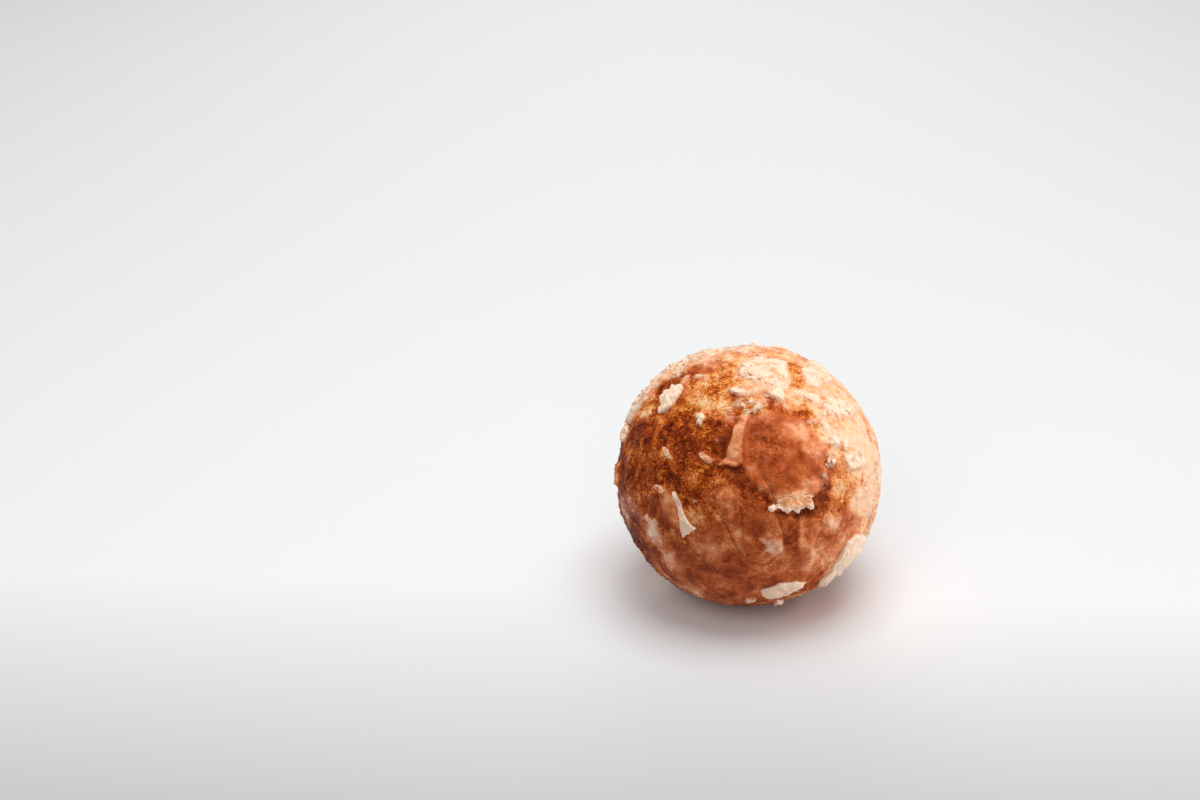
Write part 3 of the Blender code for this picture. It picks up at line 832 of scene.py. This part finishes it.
def rising(tree, value, low, high):
    """A share, from 0 where a value is low to 1 where it is high."""
    return add(tree, "ShaderNodeMapRange", {"Value": value, "From Min": low, "From Max": high})


def scaled(tree, vector, by):
    return add(tree, "ShaderNodeVectorMath", {0: vector, "Scale": by}, operation="SCALE")


def place_on_piece(tree):
    return add_node(tree, "ShaderNodeTexCoord").outputs["Object"]


def end_tree(tree, geometry, material, result):
    realized = add(tree, "GeometryNodeRealizeInstances", {"Geometry": geometry})
    painted = add(tree, "GeometryNodeSetMaterial", {"Geometry": realized, "Material": material})
    feed(result, {0: add(tree, "GeometryNodeSetShadeSmooth", {0: painted})})


def attribute(tree, name):
    return add(tree, "GeometryNodeInputNamedAttribute", {"Name": name}, data_type="FLOAT")


def grain_tree():
    """Raises the grain of the bare crust along its normals, less where cloudy glaze covers it."""
    tree, given, result = geometry_tree("crust grain", ("Grain Depth", FLOAT), ("Grain Size", FLOAT))
    waves = calc(tree, "DIVIDE", 1.0, given.outputs["Grain Size"])
    grain = clouds(tree, waves, GRAIN_DETAIL, GRAIN_ROUGHNESS)
    bare = calc(tree, "SUBTRACT", 1.0, attribute(tree, "milk"), clamp=True)
    rough = calc(tree, "ADD", LEAST_GRAIN, calc(tree, "MULTIPLY", bare, 1 - LEAST_GRAIN))
    height = calc(tree, "MULTIPLY", calc(tree, "SUBTRACT", grain, 0.5), 2.0)
    height = calc(tree, "MULTIPLY", calc(tree, "MULTIPLY", height, rough), given.outputs["Grain Depth"])
    offset = scaled(tree, add(tree, "GeometryNodeInputNormal"), height)
    moved = add(tree, "GeometryNodeSetPosition", {"Geometry": given.outputs[0], "Offset": offset})
    end_tree(tree, moved, given.outputs["Material"], result)
    return tree


def strewn_points(tree, given, bits):
    """Points on the surface, in patches, most where the field of the bits has its high value."""
    wanted = rising(tree, attribute(tree, bits.field), bits.low, bits.high)
    patches = rising(tree, clouds(tree, PATCH_WAVES, 2.0), *PATCH_EDGE)
    share = calc(tree, "MULTIPLY", wanted, patches)
    density = calc(tree, "MULTIPLY", given.outputs["Density"], share)
    values = {"Mesh": given.outputs[0], "Density": density, "Seed": bits.seed}
    return add_node(tree, "GeometryNodeDistributePointsOnFaces", values)


def random_vector(tree, low, high, seed):
    """A vector drawn for each bit."""
    values = {"Min": low, "Max": high, "Seed": seed}
    return add(tree, "FunctionNodeRandomValue", values, data_type="FLOAT_VECTOR")


def laid_bits(tree, given, bits):
    """A small flattened ball at each point, of an uneven size and turned to lie on the surface."""
    points = strewn_points(tree, given, bits)
    ball = add(tree, "GeometryNodeMeshIcoSphere", {"Radius": 0.5, "Subdivisions": bits.subdivisions})
    spin = random_vector(tree, (0.0, 0.0, 0.0), (0.0, 0.0, math.tau), bits.seed)
    turn = {0: points.outputs["Rotation"], 1: spin}
    turned = add(tree, "FunctionNodeRotateRotation", turn, rotation_space="LOCAL")
    smallest = (*SMALLEST_BIT, bits.flatness * THINNEST_BIT)
    largest = (*LARGEST_BIT, bits.flatness * THICKEST_BIT)
    sizes = random_vector(tree, smallest, largest, bits.seed + 1)
    values = {
        "Points": points.outputs[0],
        "Instance": ball,
        "Rotation": turned,
        "Scale": scaled(tree, sizes, given.outputs["Size"]),
    }
    return add(tree, "GeometryNodeInstanceOnPoints", values)


def scatter_tree(bits):
    """Strews bits over a surface and bends each of them a little."""
    tree, given, result = geometry_tree(bits.name, ("Density", FLOAT), ("Size", FLOAT))
    loose = add(tree, "GeometryNodeRealizeInstances", {"Geometry": laid_bits(tree, given, bits)})
    ways = clouds(tree, BEND_WAVES, 1.0).node.outputs["Color"]
    bend = add(tree, "ShaderNodeVectorMath", {0: ways, 1: (0.5, 0.5, 0.5)}, operation="SUBTRACT")
    offset = scaled(tree, bend, calc(tree, "MULTIPLY", given.outputs["Size"], BENT))
    bent = add(tree, "GeometryNodeSetPosition", {"Geometry": loose, "Offset": offset})
    end_tree(tree, bent, given.outputs["Material"], result)
    return tree


def ramp(tree, value, *stops):
    """A colour ramp from (place, colour) stops."""
    output = add(tree, "ShaderNodeValToRGB", {"Fac": value})
    elements = output.node.color_ramp.elements
    while len(elements) < len(stops):
        elements.new(0.5)
    for element, (at, colour) in zip(elements, stops):
        element.position = at
        element.color = (*colour, 1.0)
    return output


def crust_patterns(tree):
    """The patterns of the crust's look by name, all but the distance to a crystal about from -0.5 to 0.5."""
    in_mm = scaled(tree, place_on_piece(tree), 1 / MM)
    made = SimpleNamespace()
    for name, waves, detail, roughness in PATTERNS:
        cloud = clouds(tree, waves, detail, roughness, Vector=in_mm)
        setattr(made, name, calc(tree, "SUBTRACT", cloud, 0.5))
    crystal = add_node(tree, "ShaderNodeTexVoronoi", {"Vector": in_mm, "Scale": CRYSTALS})
    chance = add(tree, "ShaderNodeSeparateColor", {0: crystal.outputs["Color"]})
    made.lot = calc(tree, "SUBTRACT", chance, 0.5)
    made.to_crystal = crystal.outputs["Distance"]
    return made


def mixed(tree, *parts):
    """The sum of values, each times its weight."""
    total = 0.0
    for value, weight in parts:
        total = calc(tree, "ADD", total, calc(tree, "MULTIPLY", value, weight))
    return total


def laid_over(tree, share, under, over):
    """A share of one colour laid over another."""
    values = {"Factor": share, 6: under, 7: over}
    return add_node(tree, "ShaderNodeMix", values, data_type="RGBA").outputs[2]


def crust_shade(tree, tone, seen, bare, thin):
    """How light the crust is, from 0 to 1: grainy where it is bare, with clouds where the glaze is thin."""
    grain = mixed(tree, (seen.lot, 0.28), (seen.fine, 1.0), (seen.mottle, 0.85))
    grainy = calc(tree, "MULTIPLY", grain, bare)
    cloudy = calc(tree, "MULTIPLY", mixed(tree, (seen.blotch, 0.70), (seen.lumps, 0.40)), thin)
    uneven_tone = mixed(tree, (tone, 1.0), (seen.broad, 0.4), (cloudy, 1.0), (grainy, 1.0))
    return calc(tree, "ADD", uneven_tone, 0.5)


def crust_colour(tree, seen, shade, milk, white):
    """Brown crust, cloudy glaze over it, and ivory sugar over both."""
    crust = ramp(tree, shade, *CRUST_COLOURS)
    glazed = ramp(tree, shade, *GLAZED_COLOURS)
    clouded = laid_over(tree, calc(tree, "MULTIPLY", milk, MILK_COVERS), crust, glazed)
    paler = mixed(tree, (white, 0.6), (seen.fine, 0.9), (seen.mottle, 0.5))
    return laid_over(tree, white, clouded, ramp(tree, paler, *SUGAR_COLOURS))


def sugar_on_crust():
    """The look of fried crust under glaze: cloudy where milk is high and ivory where white is."""
    inputs = (("White", FLOAT), ("Milk", FLOAT), ("Tone", FLOAT))
    outputs = (("Color", COLOUR), ("Roughness", FLOAT), ("Coat", FLOAT), ("Height", FLOAT))
    tree, given, result = new_tree("sugar on crust", "ShaderNodeTree", inputs, outputs)
    seen = crust_patterns(tree)
    uneven_milk = mixed(tree, (seen.blotch, 1.1), (seen.lumps, 0.5))
    milk = calc(tree, "ADD", given.outputs["Milk"], uneven_milk, clamp=True)
    bare = calc(tree, "SUBTRACT", 1.0, calc(tree, "MULTIPLY", milk, MILK_HIDES_GRAIN))
    thin = calc(tree, "SUBTRACT", 1.0, calc(tree, "MULTIPLY", milk, MILK_HIDES_CLOUDS))
    broken = mixed(tree, (seen.lumps, 0.50), (seen.mottle, 0.34), (seen.fine, 0.26))
    amount = mixed(tree, (given.outputs["White"], WHITE_GAIN), (calc(tree, "MULTIPLY", broken, thin), 1.0))
    white = calc(tree, "MULTIPLY", calc(tree, "SUBTRACT", amount, SUGAR_FROM), SUGAR_STEEP, clamp=True)
    shade = crust_shade(tree, given.outputs["Tone"], seen, bare, thin)
    rough = mixed(tree, (milk, -0.20), (white, -0.10), (seen.fine, 0.6), (seen.lot, 0.2))
    bumps = mixed(tree, (seen.to_crystal, -0.8), (seen.fine, 1.3), (seen.mottle, 1.0))
    feed(result, {
        "Color": crust_colour(tree, seen, shade, milk, white),
        "Roughness": calc(tree, "ADD", rough, MEAN_ROUGHNESS),
        "Coat": mixed(tree, (milk, 0.10), (white, 0.20)),
        "Height": mixed(tree, (calc(tree, "MULTIPLY", bumps, bare), 1.0), (seen.lumps, 1.6), (white, 0.6)),
    })
    return tree


def new_material(name):
    """A material with its tree and its shader."""
    material = bpy.data.materials.new(name)
    material.use_nodes = True
    return material, material.node_tree, material.node_tree.nodes["Principled BSDF"]


def sugared_material(name, glow, bump_depth):
    """Glazed crust or dried glaze, which light enters by the share glow."""
    material, tree, shader = new_material(name)
    group = bpy.data.node_groups.get("sugar on crust") or sugar_on_crust()
    looks = add_node(tree, "ShaderNodeGroup", node_tree=group)
    for label in ("White", "Milk", "Tone"):
        field = add_node(tree, "ShaderNodeAttribute", attribute_name=label.lower())
        feed(looks, {label: field.outputs["Fac"]})
    bump = {"Height": looks.outputs["Height"], "Strength": 1.0, "Distance": bump_depth}
    feed(shader, {
        "Base Color": looks.outputs["Color"],
        "Roughness": looks.outputs["Roughness"],
        "Coat Weight": looks.outputs["Coat"],
        "Normal": add(tree, "ShaderNodeBump", bump),
        "Specular IOR Level": SPECULAR,
        "Coat Roughness": COAT_ROUGHNESS,
        "Subsurface Weight": glow,
        "Subsurface Radius": GLOW_RADIUS,
        "Subsurface Scale": GLOW_SCALE,
    })
    return material


def sugar_bit_material():
    """Opaque little bits of dried sugar."""
    material, tree, shader = new_material("broken sugar")
    blotch = clouds(tree, BIT_WAVES, BIT_DETAIL, Vector=place_on_piece(tree))
    feed(shader, {"Base Color": ramp(tree, blotch, *BIT_COLOURS), "Roughness": BIT_ROUGHNESS})
    return material


def dress(piece, material):
    piece.data.materials.clear()
    piece.data.materials.append(material)
    piece.data.shade_smooth()


class BakeDough(bpy.types.Operator):
    """Make the ball of fried dough with its crags, grain and thin glaze"""

    bl_idname = "doughnut.bake_dough"
    bl_label = "Bake Dough"

    def execute(self, context):
        settings = context.scene.doughnut_ball
        ball = shown("glazed_dough", blown_up_cube(settings.cuts))
        material = sugared_material("glazed crust", CRUST_GLOW, CRUST_BUMP)
        sizes = {"Grain Depth": settings.grain_depth, "Grain Size": settings.grain_size}
        ball.data = grow(ball, grain_tree(), material, **sizes)
        place(ball.data, points_of(ball.data))
        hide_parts(NODE)
        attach(ball, BODY)
        return {"FINISHED"}


class LayFlakes(bpy.types.Operator):
    """Lay the sheets and flakes of dried glaze on the crust"""

    bl_idname = "doughnut.lay_flakes"
    bl_label = "Lay Glaze Flakes"

    def execute(self, context):
        material = sugared_material("dried glaze", FLAKE_GLOW, FLAKE_BUMP)
        for name, places in (("shown_flakes", shown_places()), ("scattered_flakes", scattered_places())):
            flakes = shown(name, flakes_mesh(places))
            dress(flakes, material)
            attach(flakes, BODY)
        return {"FINISHED"}


class StrewSugar(bpy.types.Operator):
    """Strew crumbs of crust and chips and grains of broken sugar over the ball"""

    bl_idname = "doughnut.strew_sugar"
    bl_label = "Strew Sugar"

    def execute(self, context):
        settings = context.scene.doughnut_sugar
        host = bpy.data.objects["glazed_dough"]
        crust = bpy.data.materials["glazed crust"]
        sugar = sugar_bit_material()
        for kind, density, size, material in (
            (CRUMBS, settings.crumbs, settings.crumb_size, crust),
            (CHIPS, settings.chips, settings.chip_size, sugar),
            (GRAINS, settings.grains, settings.grain_size, sugar),
        ):
            bits = shown(kind.name, grow(host, scatter_tree(kind), material, Density=density, Size=size))
            place(bits.data, points_of(bits.data))
            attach(bits, BODY)
        return {"FINISHED"}


def floor_material(front, back):
    """A pale floor with painted shade, which grows a little greyer towards the viewer."""
    material, tree, shader = new_material("pale floor")
    depth = add_node(tree, "ShaderNodeSeparateXYZ", {0: place_on_piece(tree)}).outputs["Y"]
    share = rising(tree, depth, GREY_UNTIL, WHITE_FROM)
    feed(shader, {
        "Base Color": ramp(tree, share, (0.0, front), (1.0, back)),
        "Roughness": FLOOR_ROUGHNESS,
        "Specular IOR Level": FLOOR_SPECULAR,
    })
    return material


def hang_light(name, power, side, where, receiver):
    """Adds a square light that faces the ball and falls on one collection, or on everything."""
    data = bpy.data.lights.new(name, "AREA")
    data.energy = power
    data.size = side
    light = bpy.data.objects.new(name, data)
    light.location = where
    light.rotation_euler = (Vector(where) - CENTRE).to_track_quat("Z", "Y").to_euler()
    light.visible_camera = False
    light.light_linking.receiver_collection = receiver
    bpy.context.scene.collection.objects.link(light)


def gathered(name, pieces):
    """A collection of pieces, for lights to fall on alone."""
    collection = bpy.data.collections.new(name)
    for piece in pieces:
        collection.objects.link(piece)
    return collection


def make_floor(width, material):
    bm = bmesh.new()
    bmesh.ops.create_grid(bm, x_segments=1, y_segments=1, size=width / 2)
    mesh = bpy.data.meshes.new("floor")
    bm.to_mesh(mesh)
    bm.free()
    floor = shown("floor", mesh)
    dress(floor, material)
    return floor


def light_room():
    world = bpy.data.worlds.new("white room")
    world.use_nodes = True
    feed(world.node_tree.nodes["Background"], {"Color": (1.0, 1.0, 1.0, 1.0), "Strength": ROOM_LIGHT})
    bpy.context.scene.world = world


def camera_on_ball():
    """A camera that looks along +Y and down, turned so that the ball stands where the photograph has it."""
    focal = LENS / SENSOR * FRAME_WIDTH
    side = (BALL_PIXEL[0] - FRAME_WIDTH / 2) / focal
    rise = (FRAME_HEIGHT / 2 - BALL_PIXEL[1]) / focal
    distance = BALL_WIDTH * focal / BALL_PIXELS_WIDE
    line = Vector((side, rise, -1.0)).normalized()
    pitch = math.acos(math.sin(SHOWN_TILT) / math.hypot(line.y, line.z)) - math.atan2(line.y, -line.z)
    tilted = Matrix.Rotation(pitch, 3, "X") @ line
    turn = Matrix.Rotation(math.atan2(tilted.x, tilted.y), 3, "Z")
    data = bpy.data.cameras.new("camera")
    data.lens, data.sensor_width = LENS, SENSOR
    data.clip_start, data.clip_end = 0.01, 10.0
    camera = bpy.data.objects.new("camera", data)
    camera.rotation_euler = (turn @ Matrix.Rotation(pitch, 3, "X")).to_euler()
    camera.location = CENTRE - (turn @ tilted) * distance
    bpy.context.scene.collection.objects.link(camera)
    bpy.context.scene.camera = camera


class SetStage(bpy.types.Operator):
    """Set the pale floor, the soft studio lights and the camera"""

    bl_idname = "doughnut.set_stage"
    bl_label = "Set Stage"

    def execute(self, context):
        settings = context.scene.doughnut_stage
        material = floor_material(settings.front_colour, settings.back_colour)
        floor = make_floor(settings.floor_width, material)
        light_room()
        receivers = {
            "ball": gathered("doughnut hole", [bpy.data.objects[name] for name in PIECES]),
            "floor": gathered("studio floor", [floor]),
        }
        for *light, falls_on in LIGHTS:
            hang_light(*light, receivers.get(falls_on))
        context.scene.view_settings.view_transform = "Standard"
        camera_on_ball()
        return {"FINISHED"}


class DoughnutPanel(bpy.types.Panel):
    bl_label = "Doughnut Hole"
    bl_idname = "VIEW3D_PT_doughnut_hole"
    bl_space_type = "VIEW_3D"
    bl_region_type = "UI"
    bl_category = "Doughnut Hole"

    def draw(self, context):
        for step in STEPS:
            self.layout.operator(step.bl_idname)
        for group, kind in SETTINGS.items():
            box = self.layout.box()
            for name in kind.__annotations__:
                box.prop(getattr(context.scene, group), name)


PIECES = ("glazed_dough", "shown_flakes", "scattered_flakes", "crust_crumbs", "sugar_chips", "sugar_grains")
STEPS = (BakeDough, LayFlakes, StrewSugar, SetStage)
SETTINGS = {"doughnut_ball": BallSettings, "doughnut_sugar": SugarSettings, "doughnut_stage": StageSettings}
CLASSES = (*SETTINGS.values(), *STEPS, DoughnutPanel)


def register():
    for each in CLASSES:
        bpy.utils.register_class(each)
    for name, settings in SETTINGS.items():
        setattr(bpy.types.Scene, name, PointerProperty(type=settings))


def unregister():
    for name in SETTINGS:
        delattr(bpy.types.Scene, name)
    for each in reversed(CLASSES):
        bpy.utils.unregister_class(each)


def main():
    register()
    bpy.ops.doughnut.bake_dough()
    bpy.ops.doughnut.lay_flakes()
    bpy.ops.doughnut.strew_sugar()
    bpy.ops.doughnut.set_stage()


if __name__ == "__main__":
    main()
